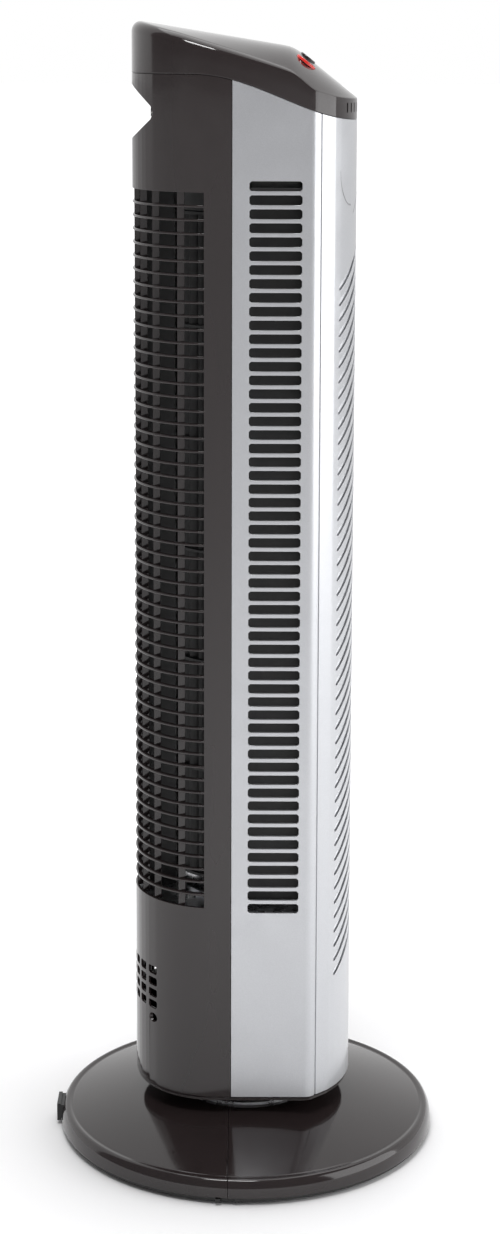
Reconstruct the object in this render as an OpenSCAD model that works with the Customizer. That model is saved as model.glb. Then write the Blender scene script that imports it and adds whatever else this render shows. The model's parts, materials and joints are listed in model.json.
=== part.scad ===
// Tower fan: an oscillating column with a tangential blower on a round base.
// Millimetres, +Z up, origin on the floor under the swivel axis, front towards -Y.

/* [Column] */
// Width of the column across its flat sides
body_w = 146; // [144:1:148]
// Distance from the swivel axis to the centre of the round back
back_y = 24; // [22:1:26]
// Distance from the swivel axis to the dark and silver joint
joint_y = 13; // [11:1:15]
// Height of the column's lower edge above the floor
body_z = 54; // [53:1:56]
// Height of the joint under the cap, at the back
cap_z = 925; // [922:1:928]
// Fall of that joint from the back to the front
cap_fall = 38; // [34:1:40]
// Height of the cap's crest at the back
top_z = 967; // [965:1:970]
// Wall thickness of the mouldings
wall = 2.4; // [2.2:0.1:2.8]

/* [Base] */
// Radius of the base at its lower edge
base_r = 164; // [163:1:166]
// Radius of the base's upper rim
rim_r = 158.5; // [157:0.5:160]
// Height of the upper rim above the floor
rim_z = 21; // [20:0.5:22]
// Height of the hub's flat top above the floor
hub_z = 39.5; // [39:0.5:40]
// Position of the joint between the base's halves
base_joint_y = 15; // [14:1:17]

/* [Openings] */
// Number of slots in each side panel
side_slots = 55; // [50:1:55]
// Distance from one side slot to the next
slot_pitch = 11.325; // [11.2:0.025:11.35]
// Height of a side slot
slot_h = 8; // [7:0.5:8.5]
// Number of bars in the rear grille
rear_bars = 53; // [48:1:53]
// Number of louvre slots in each half of the front panel
louvres = 47; // [40:1:47]
// Distance from one louvre slot to the next
louvre_pitch = 12.9; // [12.8:0.05:12.95]

/* [Blower] */
// Radius of the blower wheel
wheel_r = 46; // [44:0.5:46]
// Distance from the swivel axis to the blower's axis
wheel_y = 14; // [13:0.5:15]
// Number of blades
blades = 24; // [20:1:26]

/* [Swivel] */
// Outer radius of the pivot tube
tube_r = 20; // [19.5:0.5:20]

/* [Hidden] */
$fn = 96;

// Swivel gears: module and teeth.
gear_m = 1.2;
gear_teeth = 60;
pinion_teeth = 15;

charcoal = [0.22, 0.20, 0.20];
black = [0.08, 0.08, 0.08];
silver = [0.74, 0.75, 0.77];
steel = [0.78, 0.79, 0.80];
rubber = [0.10, 0.10, 0.10];
copper = [0.75, 0.42, 0.22];
nylon = [0.90, 0.89, 0.84];
red = [0.85, 0.10, 0.10];
green = [0.10, 0.40, 0.20];

eps = 0.01;
gap = 0.3;
half_w = body_w / 2;
big = 400;

// Column plan: a half round back, flat sides, bevelled corners and a bowed front.
corner_r = 10;
corner_turn = 43;
corner_y = -50;
bevel_y = -70.1;
front_cy = 0.9;
front_r = norm([bevel_x(bevel_y, 0), bevel_y - front_cy]);
front_y = front_cy - front_r;
split_y = -59.4;
split_gap = 1.2;

// Levels inside the column.
deck_z = 218.5;
deck_t = 1.5;
upper_z = 832;
upper_t = 2;
grille_z0 = 224;
grille_z1 = 830;
grille_y = 36;
slots_top = 839.5;
slot_y0 = -44;
slot_y1 = -1;

// Swivel levels, from the hub upwards.
plate_t = 2.5;
washer_t = 1.5;
run_gap = 0.06;
boss_z0 = hub_z + plate_t + washer_t + gap;
boss_z1 = 62;
clip_z = boss_z1 + gap;
clip_t = 1.8;
gear_z = clip_z + clip_t;
gear_t = 6;
nut_z = gear_z + gear_t;
nut_t = 8;
tube_top = 84;
swing_y = gear_m * (gear_teeth + pinion_teeth) / 2;
motor_off = 8;
can_z = 72;

// Blower levels.
shaft_r = 4;
pin_r = 3;
wheel_z0 = 240;
wheel_z1 = 812;
case_z = 200;
case_r = 40;

// Control panel: a slope at the front of the cap, with its own local axes.
brow_y = -38;
brow_z = 946.5;
lip_z = 904.6;
slope = atan2(brow_z - lip_z, brow_y - front_y);
panel_mid = [0, (brow_y + front_y) / 2, (brow_z + lip_z) / 2];
button_r = 7;
button_x = [-33, -11, 11, 33];
button_up = 19;
crown = 22;

// Handle groove across the back.
groove_z = 893.5;
groove_y = 86.2;
groove_r = 8.2;
spot_y = groove_y - groove_r - 0.1;

function arc(c, r, a0, a1, n) =
    [for (i = [0:n]) [c[0] + r * cos(a0 + (a1 - a0) * i / n), c[1] + r * sin(a0 + (a1 - a0) * i / n)]];
function reversed(pts) = [for (i = [len(pts) - 1:-1:0]) pts[i]];
function mirrored(pts) = [for (p = reversed(pts)) [-p[0], p[1]]];
// The rounded corner between a flat side and the bevel.
function corner_pts(inset) = arc([half_w - corner_r, corner_y], corner_r - inset, 0, -corner_turn, 6);
// Sideways place of the bevel at a distance y from the swivel axis.
function bevel_x(y, inset) =
    half_w - corner_r + (corner_r - inset) / cos(corner_turn) + (y - corner_y) * tan(corner_turn);

// Height of the joint under the cap at a given distance from the swivel axis.
function joint_z(y) =
    let (t = min(1, max(0, (45 - y) / 145))) cap_z - cap_fall * (1 - cos(180 * t)) / 2;
// Height of the cap's crest along the middle.
function crest_z(y) =
    y > brow_y ? brow_z + (top_z - brow_z) * (y - brow_y) / (88 - brow_y)
    : brow_z - (brow_y - y) * tan(slope);
// Drop of the cap's top from its crest to the column's flat side.
function crown_at(y) = y > 60 ? 6 : y > -45 ? 6 + (crown - 6) * pow((60 - y) / 105, 1.3) : crown;
function roof_z(x, y) = crest_z(y) - crown_at(y) * pow(x / half_w, 2);

module plan(inset) {
    nose_y = -100;
    translate([0, back_y]) circle(r = half_w - inset);
    right = concat([[bevel_x(nose_y, inset), nose_y]], reversed(corner_pts(inset)), [[half_w - inset, back_y]]);
    intersection() {
        polygon(concat(right, mirrored(right)));
        translate([0, front_cy]) circle(r = front_r - inset);
    }
}

module back_plan(inset, y0) {
    intersection() {
        union() {
            translate([0, back_y]) circle(r = half_w - inset);
            translate([-(half_w - inset), y0]) square([2 * (half_w - inset), back_y - y0]);
        }
        translate([-big, y0]) square([2 * big, big]);
    }
}

module ring(r0, r1, h) {
    difference() {
        cylinder(r = r1, h = h);
        translate([0, 0, -1]) cylinder(r = r0, h = h + 2);
    }
}

module screw(shank_r, shank_l, head_r, head_h) {
    cylinder(r = shank_r, h = shank_l);
    translate([0, 0, shank_l]) cylinder(r = head_r, h = head_h);
}

module above_joint(lift) {
    ys = [for (i = [0:28]) 120 - i * 8];
    rotate([90, 0, 90])
        translate([0, 0, -big / 2])
        linear_extrude(big)
        polygon(concat([for (y = ys) [y, joint_z(y) + lift]], [[-120, 1200], [120, 1200]]));
}

// ---------- base ----------

function dome_z(r) = rim_z + (hub_z - rim_z) * (1 - pow(r / 153, 2)) / (1 - pow(62 / 153, 2));
dome_pts = [for (i = [0:9]) let (r = 153 - i * (153 - 62) / 9) [r, dome_z(r)]];
base_t = 3;

module base_section() {
    outer = concat(
        [[base_r, 6], [base_r - 0.4, 8], [rim_r + 1.6, rim_z - 1.2], [rim_r + 0.6, rim_z - 0.2], [rim_r - 1, rim_z + 0.2],
         [rim_r - 2.6, rim_z + 0.1], [rim_r - 3.4, rim_z - 0.7], [153.8, rim_z - 0.6]],
        dome_pts, [[30, hub_z]]);
    inner = concat([[30, hub_z - base_t]], [for (i = [9:-1:1]) dome_pts[i] - [0, base_t]],
        [[rim_r - base_t, rim_z - base_t - 0.6], [base_r - base_t - 0.4, 8], [base_r - base_t, 6]]);
    polygon(concat(outer, inner));
}

module base_shell() {
    rotate_extrude() base_section();
    for (a = [30:60:330])
        rotate(a) translate([120, 0, 6]) cylinder(r = 5, h = 21);
}

module base_holes() {
    for (a = [30:60:330])
        rotate(a) translate([120, 0, 5]) cylinder(r = 1.6, h = 18);
    for (a = [45:90:315])
        rotate(a) translate([48, 0, 30]) cylinder(r = 2.1, h = 20);
}

module half_space(front) {
    translate([-big, front ? -2 * big + base_joint_y - 0.15 : base_joint_y + 0.15, -1]) cube([2 * big, 2 * big, 100]);
}

module base_half(front) {
    difference() {
        intersection() {
            base_shell();
            half_space(front);
        }
        base_holes();
        if (!front) translate([-12.8, 140, 3]) cube([25.6, 40, 15.4]);
    }
}

module base_front_half() {
    color(charcoal) base_half(true);
}

module base_rear_half() {
    color(charcoal) base_half(false);
}

module base_bottom_cover() {
    color(black) difference() {
        union() {
            translate([0, 0, 3]) cylinder(r = 161.5, h = 3);
            for (s = [-1, 1], y = [-8, 8])
                translate([s * 161 - 2.5, base_joint_y + y - 2, 3]) cube([5, 4, 3]);
        }
        translate([0, 0, 2]) cylinder(r = 32, h = 5);
        for (a = [30:60:330])
            rotate(a) translate([120, 0, 2]) cylinder(r = 1.8, h = 5);
        for (a = [0:60:300])
            rotate(a) translate([142, 0, 2]) cylinder(r = 8, h = 2.5);
    }
}

module ballast_plate() {
    color(steel) translate([0, 0, 6]) ring(60, 112, 4);
}

module rubber_feet() {
    color(rubber) for (a = [0:60:300])
        rotate(a) translate([142, 0, 0]) {
            cylinder(r1 = 10, r2 = 11, h = 3);
            translate([0, 0, 3 - eps]) cylinder(r = 8, h = 1.5 + eps);
        }
}

module base_screws() {
    color(steel) for (a = [30:60:330])
        rotate(a) translate([120, 0, 18]) mirror([0, 0, 1]) screw(1.6, 15, 3.2, 1.6);
}

module cord_gland() {
    color(black) difference() {
        union() {
            translate([-12.5, 141, 6.2]) cube([25, base_r - 139, 12]);
            translate([-12.5, base_r + 0.3, 4]) cube([25, 3.2, 15.5]);
        }
        translate([0, 130, 12]) rotate([-90, 0, 0]) cylinder(r = 3.6, h = 50);
    }
}

// ---------- swivel ----------

module swivel_plate() {
    color(steel) difference() {
        translate([0, 0, hub_z]) ring(tube_r, 58, plate_t);
        for (a = [45:90:315]) rotate(a) translate([48, 0, hub_z - 1]) {
            cylinder(r = 2.1, h = 10);
            translate([0, 0, 1 + plate_t - 1.5]) cylinder(r = 4.1, h = 5);
        }
    }
}

module swivel_screws() {
    color(steel) for (a = [45:90:315])
        rotate(a) translate([48, 0, hub_z + plate_t - 1.5 - 9]) screw(2.1, 9, 4, 1.4);
}

module pivot_tube() {
    color(steel) {
        translate([0, 0, hub_z - 3]) ring(14, 28, 3);
        translate([0, 0, hub_z - eps]) ring(14, tube_r, tube_top - hub_z);
    }
}

module thrust_washer() {
    color(nylon) translate([0, 0, hub_z + plate_t]) ring(tube_r + 0.3, 38, washer_t);
}

module retaining_washer() {
    color(steel) translate([0, 0, clip_z]) ring(tube_r, 31, clip_t);
}

function involute(rb, t) = [rb * (cos(t) + t * PI / 180 * sin(t)), rb * (sin(t) - t * PI / 180 * cos(t))];
function spin(p, a) = [p[0] * cos(a) - p[1] * sin(a), p[0] * sin(a) + p[1] * cos(a)];

// One gear outline: involute flanks, thinned for backlash.
module gear_outline(teeth, slack) {
    r_pitch = gear_m * teeth / 2;
    r_base = r_pitch * cos(20);
    r_root = r_pitch - 1.3 * gear_m;
    r_tip = r_pitch + 0.95 * gear_m;
    t_pitch = sqrt(pow(r_pitch / r_base, 2) - 1) * 180 / PI;
    t_tip = sqrt(pow(r_tip / r_base, 2) - 1) * 180 / PI;
    half_tooth = (PI * gear_m / 4 - slack / 2) / r_pitch * 180 / PI + t_pitch - 20;
    flank = [for (i = [0:4]) spin(involute(r_base, t_tip * i / 4), -half_tooth)];
    root = [r_root * cos(half_tooth), -r_root * sin(half_tooth)];
    side = concat([root], flank);
    tooth = concat(side, [for (i = [len(side) - 1:-1:0]) [side[i][0], -side[i][1]]]);
    polygon([for (k = [0:teeth - 1], p = tooth) spin(p, k * 360 / teeth)]);
}

module fixed_gear() {
    color(nylon) translate([0, 0, gear_z]) difference() {
        linear_extrude(gear_t) gear_outline(gear_teeth, 0.25);
        translate([0, 0, -1]) cylinder(r = tube_r, h = gear_t + 2);
        for (a = [0:60:300]) rotate(a + 30) translate([27.5, 0, -1]) cylinder(r = 3, h = gear_t + 2);
    }
}

module retaining_nut() {
    color(steel) translate([0, 0, nut_z]) difference() {
        cylinder(r = 26.5, h = nut_t, $fn = 6);
        translate([0, 0, -1]) cylinder(r = tube_r, h = nut_t + 2);
    }
}

module swing_pinion() {
    color(nylon) translate([0, swing_y, gear_z - 0.4]) difference() {
        union() {
            linear_extrude(gear_t + 0.8) rotate(90) gear_outline(pinion_teeth, 0.25);
            translate([0, 0, -1.5]) cylinder(r = 5, h = 2);
        }
        translate([0, 0, -3]) cylinder(r = 2.5, h = gear_t + 6);
    }
}

module pinion_shaft() {
    color(steel) translate([0, swing_y, gear_z - 1.5]) cylinder(r = 2.5, h = 80 - gear_z + 1.5);
}

module swing_motor() {
    color(steel) translate([0, swing_y + motor_off, can_z]) difference() {
        union() {
            cylinder(r = 14, h = 19);
            translate([0, -motor_off, -0.9]) cylinder(r = 4.5, h = 2);
            translate([-17.5, -3.5, 0]) cube([35, 7, 0.8]);
            for (s = [-1, 1]) translate([s * 17.5, 0, 0]) cylinder(r = 3.5, h = 0.8);
            translate([-7, 12, 3]) cube([14, 5, 13]);
        }
        translate([0, -motor_off, -2]) cylinder(r = 2.5 + run_gap, h = 80 - can_z + 2.3);
        for (s = [-1, 1]) translate([s * 17.5, 0, -1]) cylinder(r = 1.4, h = 3);
    }
}

module swing_motor_screws() {
    color(steel) for (s = [-1, 1])
        translate([s * 17.5, swing_y + motor_off, can_z - 8]) screw(1.4, 8.8, 2.8, 1.7);
}

// ---------- column shells ----------

module body_floor() {
    post_y = 56;
    color(charcoal) difference() {
        union() {
            translate([0, 0, body_z - 3.5]) linear_extrude(2.5) plan(1.2);
            translate([0, 0, body_z - 1 - eps]) linear_extrude(1 - gap + eps) plan(2.2);
            translate([0, 0, body_z - gap - eps]) linear_extrude(4) difference() {
                plan(wall + gap);
                plan(wall + gap + 2);
            }
            translate([0, 0, boss_z0]) cylinder(r = 38, h = 3);
            translate([0, 0, boss_z0]) cylinder(r = 30, h = boss_z1 - boss_z0);
            for (s = [-1, 1]) {
                translate([s * 17.5, swing_y + motor_off, body_z - 1]) cylinder(r = 3.5, h = can_z - body_z + 1);
                translate([s * 46 - 7, post_y, body_z - 1]) cube([14, 6, 71]);
            }
        }
        translate([0, 0, 30]) cylinder(r = tube_r + run_gap, h = 60);
        for (s = [-1, 1]) {
            translate([s * 17.5, swing_y + motor_off, can_z - 9]) cylinder(r = 1.4, h = 20);
            translate([s * 46, post_y - 1, 115]) rotate([-90, 0, 0]) cylinder(r = 1.75, h = 20);
        }
    }
}

module groove(extra) {
    tip = groove_r + extra;
    reach = 60;
    rotate([90, 0, 90]) translate([0, 0, -big / 2]) linear_extrude(big) {
        translate([groove_y, groove_z]) circle(r = tip);
        polygon([
            [groove_y - tip * cos(45), groove_z + tip * cos(45)],
            [groove_y - tip * cos(45) + reach, groove_z + tip * cos(45) + reach],
            [groove_y - tip * cos(45) + reach, groove_z - tip * cos(45) - reach],
            [groove_y - tip * cos(45), groove_z - tip * cos(45)]]);
    }
}

module back_wall(z0, z1) {
    translate([0, 0, z0]) linear_extrude(z1 - z0) difference() {
        back_plan(0, joint_y + 0.15);
        back_plan(wall, joint_y - 1);
    }
}

// The bars lie a little below the wall's outer face.
bar_inset = 0.2;
module grille_bars() {
    gap_h = (grille_z1 - grille_z0) / (rear_bars + 1);
    for (i = [1:rear_bars])
        translate([0, 0, grille_z0 + i * gap_h - 1.05]) linear_extrude(2.1) difference() {
            intersection() {
                translate([0, back_y]) circle(r = half_w - bar_inset);
                translate([-big, grille_y - 1]) square([2 * big, big]);
            }
            translate([0, back_y]) circle(r = half_w - 4);
        }
}

fin_x = [0, 11, 28, 45, 62];
module grille_fins() {
    for (x = fin_x, s = [-1, 1])
        translate([s * x - 0.9, back_y + sqrt(pow(half_w - 1.6, 2) - pow(x + 0.9, 2)) - 6, grille_z0 - 1])
            cube([1.8, 6, grille_z1 - grille_z0 + 2]);
}

module back_screw_tubes(r, y0, y1) {
    for (s = [-1, 1])
        translate([s * 46, y0, 115]) rotate([-90, 0, 0]) cylinder(r = r, h = y1 - y0);
}

module rear_housing() {
    color(charcoal) difference() {
        union() {
            difference() {
                back_wall(body_z, cap_z + 3);
                translate([-big, grille_y, grille_z0]) cube([2 * big, big, grille_z1 - grille_z0]);
            }
            grille_bars();
            grille_fins();
            intersection() {
                difference() {
                    groove(wall);
                    groove(0);
                }
                translate([0, 0, 850]) linear_extrude(cap_z + 3 - 850) back_plan(0, 60);
            }
            translate([0, 0, 918]) linear_extrude(2.6) difference() {
                back_plan(wall - eps, 40);
                back_plan(14, 39);
                groove_clear();
            }
            intersection() {
                back_screw_tubes(6, 62.4, 90);
                translate([0, 0, 100]) linear_extrude(40) back_plan(0.5, 30);
            }
        }
        groove(0);
        above_joint(-gap);
        back_screw_tubes(1.9, 55, 70);
        back_screw_tubes(4, 66, 100);
        for (s = [-1, 1]) {
            translate([s * 58, 50, 915]) cylinder(r = 1.9, h = 8);
            translate([s * 30, 60, groove_z]) rotate([-90, 0, 0]) cylinder(r = 1.9, h = 30);
            translate([s * 30, spot_y, groove_z]) rotate([-90, 0, 0]) cylinder(r = 3.8, h = 12);
        }
        vents();
    }
}
module groove_clear() {
    translate([-30, 84]) square([60, 20]);
}

module vents() {
    for (row = [0:3], col = [-3.5:1:3.5])
        translate([col * 13 - 4.5, 50, 123.5 + row * 10.4]) cube([9, 60, 7]);
}

module side_wall(side, z0, z1) {
    end_o = [bevel_x(split_y + split_gap / 2, 0), split_y + split_gap / 2];
    end_i = [bevel_x(split_y + split_gap / 2, wall), split_y + split_gap / 2];
    outer = concat([[half_w, joint_y - 0.15]], corner_pts(0), [end_o]);
    inner = concat([end_i], [for (i = [6:-1:0]) corner_pts(wall)[i]], [[half_w - wall, joint_y - 0.15]]);
    translate([0, 0, z0]) linear_extrude(z1 - z0) mirror([side < 0 ? 1 : 0, 0]) polygon(concat(outer, inner));
}

module side_panel(side) {
    difference() {
        union() {
            side_wall(side, body_z, cap_z);
            translate([side > 0 ? 54 : -half_w + 1, -26, 898]) cube([half_w - 55, 12, 2.5]);
            translate([side > 0 ? half_w - wall - 2 : -half_w + wall - 1, joint_y - 8, body_z + 4])
                cube([3, 6, 855]);
        }
        above_joint(-gap);
        for (i = [0:side_slots - 1])
            translate([side * (half_w - 2) - 6, slot_y0, slots_top - slot_h - i * slot_pitch])
                cube([12, slot_y1 - slot_y0, slot_h]);
        translate([side * 60, -20, 890]) cylinder(r = 1.9, h = 20);
    }
}

module left_side_panel() {
    color(silver) side_panel(-1);
}

module right_side_panel() {
    color(silver) side_panel(1);
}

module front_wall() {
    intersection() {
        difference() {
            plan(0);
            plan(wall);
        }
        translate([-big, split_y - split_gap / 2 - big]) square([2 * big, big]);
    }
}

louvre_z0 = 154;
louvre_rise = 0.7;
louvre_x0 = 4;
louvre_x1 = 51;
louvre_h = 6;
module louvre_slots() {
    run = louvre_x1 - louvre_x0;
    low = [[louvre_x1, 0], [louvre_x1, louvre_h], [louvre_x0, run * louvre_rise + louvre_h], [louvre_x0, run * louvre_rise]];
    for (i = [0:louvres - 1])
        translate([0, -40, louvre_z0 + i * louvre_pitch]) rotate([90, 0, 0]) linear_extrude(80) {
            polygon(low);
            polygon(mirrored(low));
        }
}

module front_panel() {
    color(silver) difference() {
        translate([0, 0, body_z]) linear_extrude(cap_z - body_z) front_wall();
        above_joint(-gap);
        louvre_slots();
    }
}

// ---------- cap and controls ----------

roof_n = 18;
roof_m = 12;
module roof_block(drop) {
    ys = [for (i = [0:roof_n]) 104 - i * 200 / roof_n];
    xs = [for (j = [0:roof_m]) -76 + j * 152 / roof_m];
    w = roof_m + 1;
    top = [for (y = ys, x = xs) [x, y, roof_z(x, y) - drop]];
    low = [for (y = ys, x = xs) [x, y, 860]];
    n = len(top);
    tops = [for (i = [0:roof_n - 1], j = [0:roof_m - 1])
        each [[i * w + j, i * w + j + 1, (i + 1) * w + j + 1], [i * w + j, (i + 1) * w + j + 1, (i + 1) * w + j]]];
    lows = [for (f = tops) [f[2] + n, f[1] + n, f[0] + n]];
    edge = concat([for (j = [0:roof_m]) j], [for (i = [1:roof_n]) i * w + roof_m],
        [for (j = [roof_m - 1:-1:0]) roof_n * w + j], [for (i = [roof_n - 1:-1:1]) i * w]);
    walls = [for (k = [0:len(edge) - 1]) let (a = edge[k], b = edge[(k + 1) % len(edge)])
        each [[b, a, a + n], [b, a + n, b + n]]];
    polyhedron(concat(top, low), concat(tops, lows, walls), convexity = 4);
}

// Moves its children to a point on the control panel, with +Z along the panel's outward normal.
module on_panel(x, along, out) {
    translate(panel_mid) rotate([slope, 0, 0]) translate([x, along, out]) children();
}
function panel_sag(x) = -crown * pow(x / half_w, 2) * cos(slope);

module cap_boss(x, y, z0) {
    translate([x, y, z0]) cylinder(r = 4.5, h = 958 - z0);
}

module top_cap() {
    color(charcoal) difference() {
        union() {
            difference() {
                intersection() {
                    translate([0, 0, 870]) linear_extrude(110) plan(0);
                    above_joint(0);
                    roof_block(0);
                }
                intersection() {
                    translate([0, 0, 860]) linear_extrude(110) plan(wall);
                    roof_block(2.6);
                }
            }
            intersection() {
                union() for (s = [-1, 1]) {
                    cap_boss(s * 58, 50, 920.6);
                    cap_boss(s * 60, -20, 900.5);
                }
                roof_block(1);
            }
        }
        for (s = [-1, 1]) {
            translate([s * 58, 50, 915]) cylinder(r = 1.5, h = 18);
            translate([s * 60, -20, 895]) cylinder(r = 1.5, h = 18);
        }
        for (x = button_x) on_panel(x, button_up, -14) cylinder(r = button_r + 0.5, h = 30);
        on_panel(button_x[0], button_up, panel_sag(button_x[0]) - 1.4) cylinder(r = button_r + 2.3, h = 20);
        for (i = [-5:5])
            translate([0, front_cy, 893.5]) rotate(i * 5.3) translate([-1.1, -front_r - 3, 0]) cube([2.2, 6, 8]);
    }
}

module button(i) {
    x = button_x[i];
    color(charcoal) on_panel(x, button_up, panel_sag(x)) {
        translate([0, 0, -5.6]) cylinder(r = button_r, h = 6.6);
        translate([0, 0, -5.6]) cylinder(r = button_r + 1.2, h = 1.2);
        translate([0, 0, -11]) cylinder(r = 2, h = 6);
    }
}

module power_button() {
    button(0);
}

module speed_button() {
    button(1);
}

module timer_button() {
    button(2);
}

module swing_button() {
    button(3);
}

module power_light_ring() {
    color(red) on_panel(button_x[0], button_up, panel_sag(button_x[0]) - 1.4)
        ring(button_r + 0.5, button_r + 2.3, 1.9);
}

board_out = -22;
module control_board() {
    color(green) on_panel(-46, button_up - 15, board_out) cube([92, 28, 1.6]);
}

module push_switches() {
    color(black) for (x = button_x)
        on_panel(x, button_up, board_out + 1.6) {
            translate([-3, -3, 0]) cube([6, 6, 3.5]);
            cylinder(r = 1.7, h = 8 + panel_sag(x));
        }
}

module remote_window() {
    color(black) intersection() {
        translate([-22, front_y, 891]) cube([44, 8, 10]);
        translate([0, 0, 880]) linear_extrude(30) difference() {
            plan(wall + 0.05);
            plan(wall + 1.6);
        }
    }
}

// ---------- inside the column ----------

module lead_notch() {
    translate([-60, -52]) circle(r = 4);
}

module upper_deck() {
    color(black) difference() {
        union() {
            translate([0, 0, upper_z]) linear_extrude(upper_t) difference() {
                plan(wall + 0.4);
                lead_notch();
            }
            for (s = [-1, 1]) translate([s * 30 - 6, 69.6, upper_z]) cube([12, 6, 70]);
            translate([0, wheel_y, wheel_z1 + 1.2]) ring(46.2, 47.4, upper_z - wheel_z1 - 1);
        }
        for (s = [-1, 1]) translate([s * 30, 65, groove_z]) rotate([-90, 0, 0]) cylinder(r = 1.75, h = 20);
        translate([half_w - wall - 2.3, joint_y - 8.5, 800]) cube([5, 7, 60]);
        translate([-half_w + wall - 2.7, joint_y - 8.5, 800]) cube([5, 7, 60]);
    }
}

module bearing_holder() {
    color([0.45, 0.45, 0.46]) {
        translate([0, wheel_y, 816]) ring(13, 16, upper_z - 816);
        translate([0, 52, 818]) cylinder(r1 = 4, r2 = 8, h = upper_z - 818);
        for (a = [0:90:270]) translate([0, wheel_y, 0]) rotate(a) translate([15, -1.5, 822]) cube([22, 3, upper_z - 822]);
    }
}

module bearing_cushion() {
    color(rubber) translate([0, wheel_y, 816]) ring(7, 13, 10);
}

module top_bush() {
    color([0.72, 0.55, 0.30]) translate([0, wheel_y, 816]) ring(pin_r + 0.05, 7, 10);
}

guide_t = 1.6;
function spiral(a0, a1, r0, r1, n) = [for (i = [0:n]) let (t = i / n, a = a0 + (a1 - a0) * t, r = r0 + (r1 - r0) * t)
    [r * cos(a), wheel_y + r * sin(a)]];
module guide_wall(inner, outer) {
    translate([0, 0, deck_z + deck_t]) linear_extrude(upper_z - deck_z - deck_t)
        polygon(concat(inner, reversed(outer)));
}

module scroll_guide() {
    foot = [50, -66];
    color(black) guide_wall(
        concat(spiral(38, -40, 49, 60, 18), [foot]),
        concat(spiral(38, -40, 49 + guide_t, 60 + guide_t, 18), [foot + [guide_t, 0.5]]));
}

module tongue_guide() {
    foot = [-50, -66];
    color(black) guide_wall(
        concat(spiral(168, 205, 49, 50, 8), [foot]),
        concat(spiral(168, 205, 49 + guide_t, 50 + guide_t, 8), [foot + [-guide_t, 0.5]]));
}

// Upright rib between the two halves of the rear intake, with a lip around the wheel.
module intake_divider() {
    lip = concat(arc([0, wheel_y], 49.6, 58, 91, 10), arc([0, wheel_y], 47.8, 91, 58, 10));
    color(black) translate([0, 0, deck_z + deck_t]) linear_extrude(upper_z - deck_z - deck_t) {
        translate([-1.2, 62.5]) square([2.4, 26]);
        polygon(lip);
    }
}

grommet_r = 47;
module motor_deck() {
    color(steel) difference() {
        translate([0, 0, deck_z]) linear_extrude(deck_t) difference() {
            plan(wall + 0.4);
            translate([0, wheel_y]) circle(r = case_r + 1);
            lead_notch();
        }
        for (a = [45:90:315])
            translate([0, wheel_y, deck_z - 1]) rotate(a) translate([grommet_r, 0, 0]) cylinder(r = 2, h = 4);
        translate([half_w - wall - 2.3, joint_y - 8.5, 200]) cube([5, 7, 60]);
        translate([-half_w + wall - 2.7, joint_y - 8.5, 200]) cube([5, 7, 60]);
    }
}

module motor_grommets() {
    color(rubber) for (a = [45:90:315])
        translate([0, wheel_y, deck_z - 3]) rotate(a) translate([grommet_r, 0, 0]) ring(2, 4.5, 3);
}

module motor_screws() {
    color(steel) for (a = [45:90:315])
        translate([0, wheel_y, deck_z - 8]) rotate(a) translate([grommet_r, 0, 0]) screw(2, 8 + deck_t, 3.6, 2);
}

module motor_upper_shell() {
    flange_z = deck_z - 5;
    color(steel) translate([0, wheel_y, 0]) difference() {
        rotate_extrude() polygon([
            [8, 234], [8, 222], [22, 222], [case_r - 1.5, 214], [case_r - 1.5, case_z], [47, case_z],
            [47, case_z + 1.5], [case_r, case_z + 1.5], [case_r, flange_z], [52, flange_z],
            [52, flange_z + 2], [case_r, flange_z + 2], [case_r, 224], [26, 230], [12, 230], [12, 234]]);
        for (a = [45:90:315]) rotate(a) {
            translate([grommet_r, 0, flange_z - 1]) cylinder(r = 2, h = 4);
            translate([43.5, 0, case_z - 1]) cylinder(r = 1.5, h = 4);
        }
    }
}

module motor_lower_shell() {
    color(steel) translate([0, wheel_y, 0]) difference() {
        rotate_extrude() polygon([
            [8, 166], [8, 176], [14, 176], [14, 170], [case_r - 4, 170], [case_r - 1.5, 173],
            [case_r - 1.5, case_z], [47, case_z], [47, case_z - 1.5], [case_r, case_z - 1.5],
            [case_r, 172], [case_r - 3, 168], [12, 168], [12, 166]]);
        for (a = [45:90:315]) rotate(a) translate([43.5, 0, case_z - 3]) cylinder(r = 1.5, h = 4);
    }
}

module motor_case_screws() {
    color(steel) for (a = [45:90:315])
        translate([0, wheel_y, case_z - 3.5]) rotate(a) translate([43.5, 0, 0]) screw(1.5, 5, 2.6, 1.6);
}

module stator_core() {
    color([0.5, 0.5, 0.52]) translate([0, wheel_y, 186]) ring(22.5, case_r - 1.5, 20);
}

module stator_windings() {
    color(copper) for (z = [177, 206]) translate([0, wheel_y, z]) ring(24, 35, 9 - (z > 200 ? 1.5 : 0));
}

module motor_bushes() {
    color([0.72, 0.55, 0.30]) {
        translate([0, wheel_y, 166]) ring(shaft_r + 0.05, 8, 10);
        translate([0, wheel_y, 222]) ring(shaft_r + 0.05, 8, 12);
    }
}

module rotor() {
    color([0.55, 0.55, 0.57]) translate([0, wheel_y, 184]) ring(shaft_r, 22, 24);
}

module drive_shaft() {
    color(steel) translate([0, wheel_y, 164]) cylinder(r = shaft_r, h = 98);
}

module top_pin() {
    color(steel) translate([0, wheel_y, 798]) cylinder(r = pin_r, h = 27);
}

// One forward curved blade: a short arc between two radii.
module blade() {
    r = 11;
    translate([wheel_r - 6.5, 0]) rotate(-35) intersection() {
        translate([0, -r]) difference() {
            circle(r = r);
            circle(r = r - 1.2);
        }
        translate([-6.5, -6]) square([13, 7]);
    }
}

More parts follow.
